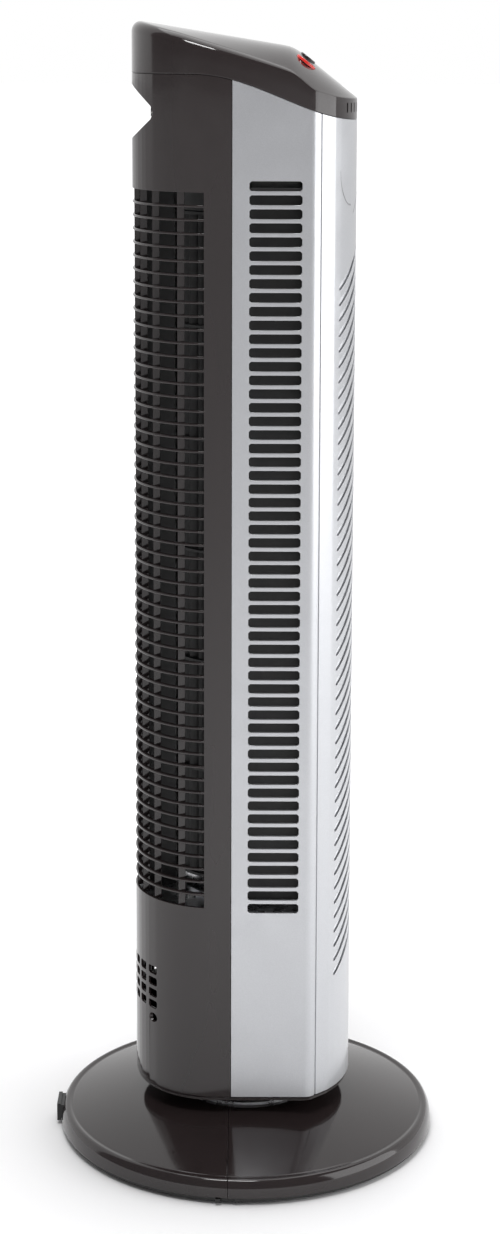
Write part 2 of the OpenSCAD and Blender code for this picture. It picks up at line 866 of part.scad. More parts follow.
module blower_wheel() {
    color(black) translate([0, wheel_y, 0]) difference() {
        union() {
            translate([0, 0, wheel_z0 + 1]) linear_extrude(wheel_z1 - wheel_z0 - 2)
                for (k = [0:blades - 1]) rotate(k * 360 / blades) blade();
            translate([0, 0, wheel_z0]) cylinder(r = wheel_r, h = 2.5);
            translate([0, 0, wheel_z0]) cylinder(r = 12, h = 22);
            translate([0, 0, wheel_z1 - 2.5]) cylinder(r = wheel_r, h = 2.5);
            translate([0, 0, 798]) cylinder(r = 8, h = 12);
            for (i = [1:5]) translate([0, 0, wheel_z0 + i * (wheel_z1 - wheel_z0) / 6 - 1]) ring(30, wheel_r, 2);
        }
        translate([0, 0, wheel_z0 - 1]) cylinder(r = shaft_r, h = 23);
        translate([0, 0, 798]) cylinder(r = pin_r, h = 20);
    }
}

module capacitor() {
    color([0.85, 0.85, 0.82]) translate([-62, -34, body_z - gap]) cube([18, 36, 28]);
}

module internal_lead() {
    color(black) translate([-60, -52, 90]) cylinder(r = 2.5, h = 780);
}

module lead_clips() {
    color(nylon) for (z = [120, 300, 460, 620, 780])
        difference() {
            translate([0, 0, z]) linear_extrude(6) intersection() {
                plan(wall);
                translate([-half_w, -57]) square([16, 10]);
            }
            translate([-60, -52, z - 1]) cylinder(r = 2.5, h = 8);
        }
}

module housing_screws() {
    color(steel) for (s = [-1, 1]) {
        translate([s * 46, 57, 115]) rotate([-90, 0, 0]) screw(1.75, 9, 3.5, 2.2);
        translate([s * 30, spot_y - 12, groove_z]) rotate([-90, 0, 0]) screw(1.75, 12, 3.5, 2.2);
    }
}

module cap_screws() {
    color(steel) for (s = [-1, 1]) {
        translate([s * 58, 50, 930]) mirror([0, 0, 1]) screw(1.5, 12, 3, 2);
        translate([s * 60, -20, 910]) mirror([0, 0, 1]) screw(1.5, 12, 3, 2);
    }
}

base_front_half();
base_rear_half();
base_bottom_cover();
ballast_plate();
rubber_feet();
base_screws();
cord_gland();
swivel_plate();
swivel_screws();
pivot_tube();
thrust_washer();
retaining_washer();
fixed_gear();
retaining_nut();
body_floor();
rear_housing();
left_side_panel();
right_side_panel();
front_panel();
top_cap();
remote_window();
power_light_ring();
control_board();
push_switches();
power_button();
speed_button();
timer_button();
swing_button();
upper_deck();
bearing_holder();
bearing_cushion();
top_bush();
scroll_guide();
tongue_guide();
intake_divider();
motor_deck();
motor_grommets();
motor_screws();
motor_upper_shell();
motor_lower_shell();
motor_case_screws();
stator_core();
stator_windings();
motor_bushes();
capacitor();
internal_lead();
lead_clips();
swing_motor();
swing_motor_screws();
housing_screws();
cap_screws();
blower_wheel();
drive_shaft();
rotor();
top_pin();
swing_pinion();
pinion_shaft();
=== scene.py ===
"""Looks of an oscillating tower fan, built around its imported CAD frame."""

import json
import math

import bmesh
import bpy
from mathutils import Euler, Matrix, Vector


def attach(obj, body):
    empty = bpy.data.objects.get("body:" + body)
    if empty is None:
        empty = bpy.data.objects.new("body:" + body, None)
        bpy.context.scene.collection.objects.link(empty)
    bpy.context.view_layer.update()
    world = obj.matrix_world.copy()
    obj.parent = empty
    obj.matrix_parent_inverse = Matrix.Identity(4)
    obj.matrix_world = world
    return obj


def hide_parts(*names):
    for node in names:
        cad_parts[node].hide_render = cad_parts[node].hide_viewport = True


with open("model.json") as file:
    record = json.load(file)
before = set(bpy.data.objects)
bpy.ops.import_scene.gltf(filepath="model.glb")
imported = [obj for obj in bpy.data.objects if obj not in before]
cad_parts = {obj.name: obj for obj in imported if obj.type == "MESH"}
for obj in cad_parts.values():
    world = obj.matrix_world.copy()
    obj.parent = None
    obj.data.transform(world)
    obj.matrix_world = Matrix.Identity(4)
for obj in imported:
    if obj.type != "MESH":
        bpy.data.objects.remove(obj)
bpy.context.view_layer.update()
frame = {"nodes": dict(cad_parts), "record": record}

MM = 0.001
QUARTER = math.pi / 2
TURN = 2 * math.pi

# Column plan, in millimetres: the same outline as the CAD frame.
HALF_W = 73.0
BACK_Y = 24.0
JOINT_Y = 13.0
CORNER_R = 10.0
CORNER_Y = -50.0
CORNER_TURN = math.radians(43)
BEVEL_Y = -70.1
BOW_Y = 0.9
SPLIT_Y = -59.4
SPLIT_GAP = 1.2
WALL = 2.4

# Half the gap of a joint between two shells, and the gap under the cap.
SEAM = 0.15
CAP_GAP = 0.3

# Heights of the column. The joint under the cap falls from JOINT_BACK_Y towards the front.
BODY_Z = 54.0
JOINT_Z, JOINT_FALL = 925.0, 38.0
JOINT_BACK_Y, JOINT_RUN = 45.0, 145.0

# Top of the cap: its crest rises from the brow to TOP_Z at CREST_Y, and its crown grows forwards.
TOP_Z, CREST_Y = 967.0, 88.0
BROW_Y, BROW_Z, LIP_Z = -38.0, 946.5, 904.6
CROWN_BACK, CROWN_FRONT = 6.0, 22.0
CROWN_BACK_Y, CROWN_RUN = 60.0, 105.0

# Intake grille: level bars bent round the back, over upright fins.
GRILLE_Z0, GRILLE_Z1, GRILLE_Y = 224.0, 830.0, 36.0
BARS, BAR_DEPTH, BAR_H, BAR_R, BAR_INSET = 53, 4.0, 2.1, 0.45, 0.2
FIN_X, FIN_THICK, FIN_DEPTH, FIN_INSET = (0, 11, 28, 45, 62), 1.8, 6.0, 1.6

# Motor vents and the holes of the lower housing screws.
VENT_X = [2, 11, 15, 24, 28, 37, 41, 50]
VENT_ROWS = [123.5 + 10.4 * k for k in range(4)]
VENT_H, VENT_R = 7.0, 1.0
SCREW_X, SCREW_Z, SCREW_HOLE_R = 46, 115.0, 4.0

# Side slots, and louvre slots whose corners are cut by LOUVRE_END along X and LOUVRE_R upwards.
SLOTS, SLOT_PITCH, SLOT_H, SLOT_TOP = 55, 11.325, 8.0, 839.5
SLOT_Y0, SLOT_Y1, SLOT_R = -44.0, -1.0, 1.6
LOUVRES, LOUVRE_PITCH, LOUVRE_H, LOUVRE_Z0 = 47, 12.9, 6.0, 154.0
LOUVRE_X0, LOUVRE_X1, LOUVRE_RISE = 4.0, 51.0, 0.7
LOUVRE_END, LOUVRE_R = 1.8, 1.5

# Handle groove: the axis and radius of its arc, the steps across it and the steps of its arc.
GROOVE_Y, GROOVE_Z, GROOVE_R = 86.2, 893.5, 8.2
GROOVE_STEPS, GROOVE_ARC_STEPS = 14, 10

# Base.
BASE_R, RIM_R, RIM_Z, HUB_Z, DOME_R, HUB_R = 164.0, 158.5, 21.0, 39.5, 153.0, 62.0
BASE_JOINT_Y, BASE_WALL, BASE_BORE_R, DOME_STEPS = 15.0, 3, 30, 26

# Buttons, along X and up the control panel from its middle.
BUTTON_X = {"power": -33.0, "speed": -11.0, "timer": 11.0, "swing": 33.0}
BUTTON_R, BUTTON_UP = 7.0, 19.0

# Camera: its place in metres, its pitch in degrees and its roll in radians.
CAMERA_AT = (-2.0415, 0, 0.9617)
CAMERA_DOWN, CAMERA_ROLL = 9.40, 0.0025
CAMERA_SHIFT, LENS, SENSOR = (0.002, -0.1515), 70.87, 36.0


def bevel_x(y):
    """Sideways place of the corner's bevel at a place y along the column's depth."""
    reach = CORNER_R / math.cos(CORNER_TURN)
    return HALF_W - CORNER_R + reach + (y - CORNER_Y) * math.tan(CORNER_TURN)


BEVEL_X = bevel_x(BEVEL_Y)
BOW_R = math.hypot(BEVEL_X, BEVEL_Y - BOW_Y)
FRONT_Y = BOW_Y - BOW_R
SLOPE = math.atan2(BROW_Z - LIP_Z, BROW_Y - FRONT_Y)


# ---------------------------------------------------------------- materials


class Shader:
    """One node material under construction."""

    def __init__(self, name):
        self.mat = bpy.data.materials.new(name)
        self.mat.use_nodes = True
        self.nodes = self.mat.node_tree.nodes
        self.links = self.mat.node_tree.links
        self.bsdf = self.nodes["Principled BSDF"]
        self.coords = self.add("ShaderNodeTexCoord").outputs["Object"]

    def add(self, kind, **inputs):
        node = self.nodes.new(kind)
        for key, value in inputs.items():
            node.inputs[key.replace("_", " ")].default_value = value
        return node

    def base(self, **values):
        """Sets values that are the same all over the surface."""
        for key, value in values.items():
            self.bsdf.inputs[key.replace("_", " ")].default_value = value
        return self

    def noise(self, scale, detail=3.0, stretch=None):
        """A noise value in object space; stretch scales each axis."""
        node = self.add("ShaderNodeTexNoise", Scale=scale, Detail=detail)
        source = self.coords
        if stretch:
            mapping = self.add("ShaderNodeMapping")
            mapping.inputs["Scale"].default_value = stretch
            self.links.new(source, mapping.inputs["Vector"])
            source = mapping.outputs["Vector"]
        self.links.new(source, node.inputs["Vector"])
        return node.outputs["Fac"]

    def cells(self, scale):
        """A colour for each cell of a Voronoi pattern in object space."""
        node = self.add("ShaderNodeTexVoronoi", Scale=scale)
        self.links.new(self.coords, node.inputs["Vector"])
        return node.outputs["Color"]

    def ramp(self, source, low, high, start=0.3, end=0.7):
        """Maps a value to a colour or number between low and high."""
        node = self.add("ShaderNodeValToRGB")
        for stop, place, value in zip(node.color_ramp.elements, (start, end), (low, high)):
            stop.position = place
            stop.color = (*value, 1) if isinstance(value, tuple) else (value, value, value, 1)
        self.links.new(source, node.inputs["Fac"])
        return node.outputs["Color"]

    def drive(self, socket, source):
        self.links.new(source, self.bsdf.inputs[socket])
        return self

    def bump(self, source, strength, distance):
        node = self.add("ShaderNodeBump", Strength=strength, Distance=distance)
        self.links.new(source, node.inputs["Height"])
        self.links.new(node.outputs["Normal"], self.bsdf.inputs["Normal"])
        return self


def shade(colour, change):
    """A colour made lighter or darker."""
    return tuple(min(1.0, c * change) for c in colour)


def gloss_plastic(name, colour, rough=0.10, coat=0.2):
    """Glossy moulded plastic: flow variation, faint orange peel, fine handling marks."""
    s = Shader(name).base(Metallic=0.0, Coat_Weight=coat, Coat_Roughness=0.03)
    flow = s.noise(14.0, 4.0, (1, 1, 0.25))
    s.drive("Base Color", s.ramp(flow, shade(colour, 0.9), shade(colour, 1.12)))
    s.drive("Roughness", s.ramp(s.noise(55.0, 6.0), rough * 0.8, rough * 1.35))
    return s.bump(s.noise(420.0, 2.0), 0.02, 0.0004).mat


def matt_plastic(name, colour, rough=0.5):
    """Spark-eroded matt plastic with a fine grain."""
    s = Shader(name).base(Metallic=0.0)
    s.drive("Base Color", s.ramp(s.noise(60.0, 5.0), shade(colour, 0.85), shade(colour, 1.2)))
    s.drive("Roughness", s.ramp(s.noise(300.0, 4.0), rough * 0.85, rough * 1.15))
    return s.bump(s.noise(1800.0, 3.0), 0.12, 0.0003).mat


def silver_paint(name, colour):
    """Metallic paint: flake sparkle under a thin clear coat."""
    s = Shader(name).base(Metallic=0.75, Coat_Weight=0.35, Coat_Roughness=0.12)
    flakes = s.cells(3200.0)
    s.drive("Base Color", s.ramp(flakes, shade(colour, 0.93), shade(colour, 1.06), 0.1, 0.9))
    s.drive("Roughness", s.ramp(s.noise(35.0, 5.0), 0.30, 0.38))
    return s.bump(s.noise(900.0, 2.0), 0.015, 0.0003).mat


def rubber(name, colour):
    """Moulded rubber with a coarse grain."""
    s = Shader(name).base(Metallic=0.0)
    s.drive("Base Color", s.ramp(s.noise(90.0, 6.0), shade(colour, 0.8), shade(colour, 1.5)))
    s.drive("Roughness", s.ramp(s.noise(160.0, 4.0), 0.62, 0.82))
    return s.bump(s.noise(1300.0, 3.0), 0.2, 0.0003).mat


def metal(name, colour, rough, stretch=(1, 1, 12), scale=120.0):
    """Worked metal with a directional finish."""
    s = Shader(name).base(Metallic=1.0)
    grain = s.noise(scale, 5.0, stretch)
    s.drive("Base Color", s.ramp(grain, shade(colour, 0.85), shade(colour, 1.1)))
    s.drive("Roughness", s.ramp(grain, rough * 0.8, rough * 1.25))
    return s.bump(grain, 0.05, 0.0002).mat


def galvanised(name, colour):
    """Galvanised sheet: zinc spangle in large cells."""
    s = Shader(name).base(Metallic=1.0)
    spangle = s.cells(170.0)
    s.drive("Base Color", s.ramp(spangle, shade(colour, 0.82), shade(colour, 1.12), 0.1, 0.9))
    s.drive("Roughness", s.ramp(spangle, 0.22, 0.42, 0.1, 0.9))
    return s.bump(s.noise(260.0, 3.0), 0.05, 0.0003).mat


def windings(name, colour):
    """Enamelled copper wire, wound in fine turns."""
    s = Shader(name).base(Metallic=0.9)
    wave = s.add("ShaderNodeTexWave", Scale=420.0, Distortion=1.5)
    s.links.new(s.coords, wave.inputs["Vector"])
    s.drive("Base Color", s.ramp(wave.outputs["Fac"], shade(colour, 0.5), shade(colour, 1.2)))
    s.drive("Roughness", s.ramp(wave.outputs["Fac"], 0.28, 0.45))
    return s.bump(wave.outputs["Fac"], 0.5, 0.0004).mat


def board(name, colour):
    """Solder resist over copper tracks."""
    s = Shader(name).base(Metallic=0.0, Coat_Weight=0.3)
    brick = s.add("ShaderNodeTexBrick", Scale=90.0)
    brick.inputs["Color1"].default_value = (*colour, 1)
    brick.inputs["Color2"].default_value = (*shade(colour, 1.5), 1)
    brick.inputs["Mortar"].default_value = (*shade(colour, 2.4), 1)
    s.links.new(s.coords, brick.inputs["Vector"])
    s.drive("Base Color", brick.outputs["Color"])
    s.drive("Roughness", s.ramp(s.noise(200.0), 0.25, 0.4))
    return s.bump(brick.outputs["Fac"], 0.15, 0.0002).mat


def red_light(name, colour):
    """Translucent red moulding, faintly lit."""
    s = Shader(name).base(Coat_Weight=0.6, Coat_Roughness=0.05, Emission_Strength=0.12)
    glow = s.noise(160.0, 2.0)
    s.drive("Base Color", s.ramp(glow, shade(colour, 0.85), shade(colour, 1.1)))
    s.drive("Emission Color", s.ramp(glow, shade(colour, 0.7), shade(colour, 1.0)))
    s.drive("Roughness", s.ramp(glow, 0.12, 0.2))
    return s.bump(s.noise(700.0), 0.05, 0.0002).mat


CHARCOAL = (0.021, 0.0155, 0.0155)
BLACK = (0.012, 0.012, 0.012)
SILVER = (0.55, 0.56, 0.58)

FINISHES = {
    "charcoal_gloss": gloss_plastic("charcoal_gloss", CHARCOAL),
    "button_gloss": gloss_plastic("button_gloss", shade(CHARCOAL, 0.85), 0.14),
    "black_plastic": matt_plastic("black_plastic", BLACK, 0.42),
    "silver_paint": silver_paint("silver_paint", SILVER),
    "black_rubber": rubber("black_rubber", (0.016, 0.016, 0.016)),
    "galvanised_steel": galvanised("galvanised_steel", (0.74, 0.75, 0.77)),
    "zinc_screw": metal("zinc_screw", (0.60, 0.60, 0.58), 0.3, (1, 1, 1), 500.0),
    "bright_steel": metal("bright_steel", (0.66, 0.66, 0.66), 0.18, (1, 1, 9)),
    "nylon": matt_plastic("nylon", (0.66, 0.65, 0.58), 0.38),
    "grey_plastic": matt_plastic("grey_plastic", (0.22, 0.22, 0.23), 0.4),
    "copper_winding": windings("copper_winding", (0.62, 0.27, 0.12)),
    "bronze_bush": metal("bronze_bush", (0.50, 0.34, 0.16), 0.4, (1, 1, 1), 900.0),
    "core_steel": metal("core_steel", (0.32, 0.32, 0.34), 0.45, (1, 1, 60)),
    "circuit_board": board("circuit_board", (0.02, 0.13, 0.05)),
    "red_light": red_light("red_light", (0.75, 0.03, 0.02)),
    "dark_lens": gloss_plastic("dark_lens", (0.010, 0.006, 0.009), 0.06, 0.9),
    "capacitor_case": matt_plastic("capacitor_case", (0.55, 0.55, 0.52), 0.35),
    "lead_sheath": rubber("lead_sheath", (0.014, 0.014, 0.015)),
}


# ---------------------------------------------------------------- mesh helpers


def mesh_object(name, points, faces, finish):
    """A welded mesh from points in millimetres, without faces of no area."""
    mesh = bpy.data.meshes.new(name)
    mesh.from_pydata([tuple(c * MM for c in p) for p in points], [], faces)
    bm = bmesh.new()
    bm.from_mesh(mesh)
    bmesh.ops.remove_doubles(bm, verts=bm.verts, dist=2e-6)
    bmesh.ops.dissolve_degenerate(bm, edges=bm.edges, dist=1e-6)
    bm.to_mesh(mesh)
    bm.free()
    obj = bpy.data.objects.new(name, mesh)
    bpy.context.scene.collection.objects.link(obj)
    mesh.materials.append(FINISHES[finish])
    return obj


def solidify(obj, even=True):
    """Gives a sheet its wall, inward from its surface."""
    m = obj.modifiers.new("wall", "SOLIDIFY")
    m.thickness, m.offset, m.use_even_offset = WALL * MM, -1, even


def round_edges(obj, width, angle=35):
    """Rounds each edge that is sharper than the angle."""
    m = obj.modifiers.new("edges", "BEVEL")
    m.width, m.segments, m.limit_method = width * MM, 2, "ANGLE"
    m.angle_limit = math.radians(angle)
    m.use_clamp_overlap, m.harden_normals = False, False


def cut(obj, cutters):
    """Subtracts each cutter, then removes it."""
    for cutter in cutters:
        m = obj.modifiers.new("cut", "BOOLEAN")
        m.operation, m.solver, m.object = "DIFFERENCE", "EXACT", cutter
    bake(obj)
    for cutter in cutters:
        bpy.data.objects.remove(cutter)


def bake(obj):
    """Replaces the mesh with its evaluated self, so that no modifier is left."""
    graph = bpy.context.evaluated_depsgraph_get()
    baked = bpy.data.meshes.new_from_object(obj.evaluated_get(graph))
    obj.modifiers.clear()
    obj.data = baked


def smooth(obj, angle=38):
    """Smooth shading that keeps edges sharper than the angle."""
    bake(obj)
    obj.data.shade_smooth()
    obj.data.set_sharp_from_angle(angle=math.radians(angle))
    weigh = obj.modifiers.new("normals", "WEIGHTED_NORMAL")
    weigh.keep_sharp, weigh.weight = True, 60


def place(obj, body, finish, *nodes):
    """Hands a finished piece to its CAD body."""
    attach(obj, body)
    if nodes:
        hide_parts(*nodes)
    return obj


def lathe(name, profile, finish, steps):
    """A surface of revolution about the Z axis from (radius, height) pairs."""
    points, faces = [], []
    for i in range(steps + 1):
        a = TURN * i / steps
        points.extend((r * math.cos(a), r * math.sin(a), z) for r, z in profile)
    n = len(profile)
    for i in range(steps):
        for k in range(n - 1):
            a = i * n + k
            faces.append((a, a + n, a + n + 1, a + 1))
    return mesh_object(name, points, faces, finish)


def closed_lathe(name, profile, finish, steps):
    """A ring from a closed section."""
    return lathe(name, profile + [profile[0]], finish, steps)


def arc_points(cx, cy, r, start, end, steps):
    """Points on an arc, with the outward normal of each."""
    found = []
    for i in range(steps + 1):
        a = start + (end - start) * i / steps
        found.append((cx + r * math.cos(a), cy + r * math.sin(a), math.cos(a), math.sin(a)))
    return found


def relax(profile, rounds=2):
    """Rounds an open line by cutting its corners."""
    for _ in range(rounds):
        cut_line = [profile[0]]
        for p, q in zip(profile, profile[1:]):
            cut_line.append(tuple(a * 0.75 + b * 0.25 for a, b in zip(p, q)))
            cut_line.append(tuple(a * 0.25 + b * 0.75 for a, b in zip(p, q)))
        profile = [*cut_line, profile[-1]]
    return profile


def grid_object(name, columns, kind, finish):
    """A sheet over columns of points, each of the same height.

    kind says what a cell is: True is open, False is a full face, and a corner's name keeps
    only the triangle at that corner.
    """
    points, faces = [point for column in columns for point in column], []
    height = len(columns[0])
    corners = {"sw": (0, 1, 3), "se": (0, 1, 2), "ne": (1, 2, 3), "nw": (0, 2, 3)}
    for j in range(len(columns) - 1):
        for i in range(height - 1):
            low, next_low = j * height + i, (j + 1) * height + i
            cell = (low, next_low, next_low + 1, low + 1)
            what = kind(j, i)
            if what is True:
                continue
            faces.append(tuple(cell[k] for k in corners[what]) if what else cell)
    return mesh_object(name, points, faces, finish)


def window_cell(j, i, columns, rows):
    """Cell of a window with cut corners: True inside, a corner's name there, else False."""
    (j0, j1), (i0, i1) = columns, rows
    if not (j0 <= j < j1 and i0 <= i < i1):
        return False
    west, east, south, north = j == j0, j == j1 - 1, i == i0, i == i1 - 1
    if west and south:
        return "sw"
    if east and south:
        return "se"
    if east and north:
        return "ne"
    if west and north:
        return "nw"
    return True


def window_kind(groups, starts):
    """The kind of each cell of a sheet with a window in each group of columns at each start."""

    def kind(j, i):
        for columns in groups:
            for start in starts:
                found = window_cell(j, i, columns, (start, start + 3))
                if found:
                    return found
        return False

    return kind


# ---------------------------------------------------------------- outline


def seam_z(y):
    """Height of the joint under the cap."""
    t = min(1.0, max(0.0, (JOINT_BACK_Y - y) / JOINT_RUN))
    return JOINT_Z - JOINT_FALL * (1 - math.cos(math.pi * t)) / 2


def crest_z(y):
    """Height of the cap's ridge, before its brow is softened."""
    if y > BROW_Y:
        return BROW_Z + (TOP_Z - BROW_Z) * (y - BROW_Y) / (CREST_Y - BROW_Y)
    return BROW_Z - (BROW_Y - y) * math.tan(SLOPE)


def roof_z(x, y):
    """Height of the cap's crowned top."""
    share = min(1.0, max(0.0, (CROWN_BACK_Y - y) / CROWN_RUN))
    crown = CROWN_BACK + (CROWN_FRONT - CROWN_BACK) * share**1.3
    soft = sum(crest_z(y + d) for d in (-6, -3, 0, 3, 6)) / 5
    return soft - crown * (x / HALF_W) ** 2


def corner_column(steps=6):
    """The rounded corner of the right side, from the bevel to the flat side."""
    return arc_points(HALF_W - CORNER_R, CORNER_Y, CORNER_R, -CORNER_TURN, 0, steps)


def bevel_point(y):
    """A point of the right side's bevel, with its outward normal."""
    return (bevel_x(y), y, math.cos(CORNER_TURN), -math.sin(CORNER_TURN))


def flat_column(ys):
    """Points of the flat right side, with their outward normals."""
    return [(HALF_W, y, 1.0, 0.0) for y in ys]


def mirrored(outline):
    """The same stretch of outline on the left side, kept in running order."""
    return [(-x, y, -nx, ny) for x, y, nx, ny in reversed(outline)]


def back_column(xs, ys):
    """The half round back, with columns at the given x on both sides and at the given y."""
    wanted = [math.acos(s * x / HALF_W) for x in xs for s in (-1, 1)]
    wanted += [math.asin((y - BACK_Y) / HALF_W) for y in ys]
    wanted += [math.pi - math.asin((y - BACK_Y) / HALF_W) for y in ys]
    wanted += [0.0, math.pi]
    regular = [math.radians(a) for a in range(5, 180, 5)]
    near = math.radians(1.4)
    wanted += [a for a in regular if all(abs(a - w) > near for w in wanted)]
    return [
        (HALF_W * math.cos(a), BACK_Y + HALF_W * math.sin(a), math.cos(a), math.sin(a))
        for a in sorted(set(round(w, 6) for w in wanted))
    ]


def bow_column(xs):
    """The bowed front from left to right, with columns at the given x."""
    edge = math.asin(BEVEL_X / BOW_R)
    found = []
    for x in xs:
        a = max(-edge, min(edge, math.asin(x / BOW_R)))
        found.append((BOW_R * math.sin(a), BOW_Y - BOW_R * math.cos(a), math.sin(a), -math.cos(a)))
    return found


# ---------------------------------------------------------------- side panels


def side_rows():
    """Row heights of a side panel, and the row where each slot starts."""
    rows, starts = [BODY_Z, BODY_Z + 90], []  # the second row lies in the plain stretch
    for k in reversed(range(SLOTS)):
        low = SLOT_TOP - SLOT_H - k * SLOT_PITCH
        starts.append(len(rows))
        rows += [low, low + SLOT_R, low + SLOT_H - SLOT_R, low + SLOT_H]
    return rows, starts


def side_panel(name, mirror, node):
    """A silver side panel with its slots, from the front split to the joint with the back."""
    inner = [SLOT_Y0 + SLOT_R, -36, -28, -20, -12, SLOT_Y1 - SLOT_R]
    outline = [bevel_point(SPLIT_Y + SPLIT_GAP / 2)] + corner_column()
    first = len(outline)
    outline += flat_column([SLOT_Y0, *inner, SLOT_Y1, 5, JOINT_Y - SEAM])
    last = first + len(inner) + 1
    rows, starts = side_rows()
    extra = 4

    def column(x, y):
        top = seam_z(y) - CAP_GAP
        above = [rows[-1] + (top - rows[-1]) * (k + 1) / extra for k in range(extra)]
        return [(x, y, z) for z in rows + above]

    columns = [column(x, y) for x, y, _, _ in outline]
    obj = grid_object(name, columns, window_kind([(first, last)], starts), "silver_paint")
    if mirror:
        flip(obj)
    solidify(obj)
    round_edges(obj, 0.35)
    smooth(obj)
    return place(obj, "column", "silver_paint", node)


def flip(obj):
    """Mirrors a mesh across the middle of the fan, keeping its faces outward."""
    obj.data.transform(Matrix.Scale(-1, 4, Vector((1, 0, 0))))
    obj.data.flip_normals()


# ---------------------------------------------------------------- rear housing


def groove_profile(y_wall):
    """(y, z) points across the handle groove, from its lower edge to its upper edge."""
    if y_wall <= GROOVE_Y - GROOVE_R:
        return [(y_wall, GROOVE_Z)] * (GROOVE_STEPS + 1)
    flare = math.radians(45)
    reach = min(1.0, (GROOVE_Y - y_wall) / GROOVE_R)
    end = min(flare, math.acos(max(-1.0, reach))) if reach > 0 else flare
    found = []
    for k in range(GROOVE_ARC_STEPS + 1):
        a = -end + 2 * end * k / GROOVE_ARC_STEPS
        found.append((GROOVE_Y - GROOVE_R * math.cos(a), GROOVE_Z + GROOVE_R * math.sin(a)))
    tip_y, tip_z = found[-1]
    run = max(0.0, y_wall - tip_y)
    half = (GROOVE_STEPS - GROOVE_ARC_STEPS) // 2
    flank = [(tip_y + run * (k + 1) / half, tip_z + run * (k + 1) / half) for k in range(half)]
    low = [(y, 2 * GROOVE_Z - z) for y, z in reversed(flank)]
    return low + found + flank


def rear_rows():
    """Fixed heights below the groove, with the vents' starting rows."""
    rows, starts = [BODY_Z], []
    for z in VENT_ROWS:
        starts.append(len(rows))
        rows += [z, z + VENT_R, z + VENT_H - VENT_R, z + VENT_H]
    return rows + [GRILLE_Z0, GRILLE_Z1, 850.0], starts


def vent_columns(outline):
    """Pairs of column numbers that bound each vent."""
    round_back = [k for k, (_, y, _, _) in enumerate(outline) if y > BACK_Y]

    def number(x):
        return min(round_back, key=lambda k: abs(outline[k][0] - x))

    pairs = []
    for s in (-1, 1):
        for a, b in zip(VENT_X[::2], VENT_X[1::2]):
            pairs.append(tuple(sorted((number(s * a), number(s * b)))))
    return pairs


def rear_outline():
    """The back from right to left, with columns at the vents, the groove and the grille."""
    inner = [v + d for v, d in zip(VENT_X, [VENT_R, -VENT_R] * 4)]
    reach = math.sqrt(HALF_W**2 - (GROOVE_Y - GROOVE_R - BACK_Y) ** 2)
    side = [(HALF_W, JOINT_Y + SEAM, 1.0, 0.0)]
    return side + back_column(VENT_X + inner + [reach], [GRILLE_Y]) + mirrored(side)


def rear_housing():
    """The half round back with the grille's opening, the vents and the handle groove."""
    outline = rear_outline()
    rows, starts = rear_rows()
    vent_kind = window_kind(vent_columns(outline), starts)
    grille_row = rows.index(GRILLE_Z0)

    def column(x, y):
        groove = [(x, groove_y, z) for groove_y, z in groove_profile(y)]
        return [(x, y, z) for z in rows] + groove + [(x, y, seam_z(y) - CAP_GAP)]

    def kind(j, i):
        if i == grille_row:
            return (outline[j][1] + outline[j + 1][1]) / 2 > GRILLE_Y
        return vent_kind(j, i)

    columns = [column(x, y) for x, y, _, _ in outline]
    obj = grid_object("rear_shell", columns, kind, "charcoal_gloss")
    solidify(obj)
    bake(obj)
    cut(obj, [round_cutter(s * SCREW_X, SCREW_Z, SCREW_HOLE_R, 60, 110) for s in (-1, 1)])
    round_edges(obj, 0.4)
    smooth(obj, 30)
    return place(obj, "column", "charcoal_gloss", "rear_housing")


def prism_cutter(outline, y0, y1):
    """A cutter along Y from a closed outline of (x, z) pairs."""
    n = len(outline)
    points = [(x, y, z) for y in (y0, y1) for x, z in outline]
    faces = [tuple(range(n)), tuple(reversed(range(n, 2 * n)))]
    faces += [(k, k + n, (k + 1) % n + n, (k + 1) % n) for k in range(n)]
    return mesh_object("cutter", points, faces, "black_plastic")


def round_cutter(x, z, r, y0, y1):
    """A round cutter along Y."""
    steps = 32
    angles = [TURN * k / steps for k in range(steps)]
    return prism_cutter([(x + r * math.cos(a), z + r * math.sin(a)) for a in angles], y0, y1)


def sweep_section(points, faces, path, section):
    """Adds a closed section swept along a path of (x, y, nx, ny, z), with capped ends."""
    base, n = len(points), len(section)
    for x, y, nx, ny, z in path:
        points.extend((x - nx * d, y - ny * d, z + h) for d, h in section)
    for k in range(len(path) - 1):
        for s in range(n):
            a, b = base + k * n + s, base + k * n + (s + 1) % n
            faces.append((a, a + n, b + n, b))
    faces.append(tuple(base + s for s in range(n)))
    faces.append(tuple(base + (len(path) - 1) * n + s for s in reversed(range(n))))


def bar_section():
    """A bar with cut corners: pairs of inward depth and height."""
    h, d, r = BAR_H / 2, BAR_DEPTH, BAR_R
    lower = [(r, -h), (d - r, -h), (d, -h + r)]
    upper = [(d, h - r), (d - r, h), (r, h)]
    return [*lower, *upper, (0, h - r), (0, -h + r)]


def rear_grille():
    """The bars and fins of the intake grille."""
    points, faces = [], []
    overlap = 0.8
    low = math.asin((GRILLE_Y - overlap - BACK_Y) / HALF_W)
    ring = arc_points(0, BACK_Y, HALF_W - BAR_INSET, low, math.pi - low, 56)
    step = (GRILLE_Z1 - GRILLE_Z0) / (BARS + 1)
    for k in range(1, BARS + 1):
        z = GRILLE_Z0 + k * step
        sweep_section(points, faces, [(*p, z) for p in ring], bar_section())
    obj = mesh_object("rear_grille_bars", points, faces, "charcoal_gloss")
    smooth(obj, 50)
    place(obj, "column", "charcoal_gloss")
    fins = fin_strips()
    smooth(fins, 50)
    return place(fins, "column", "charcoal_gloss")


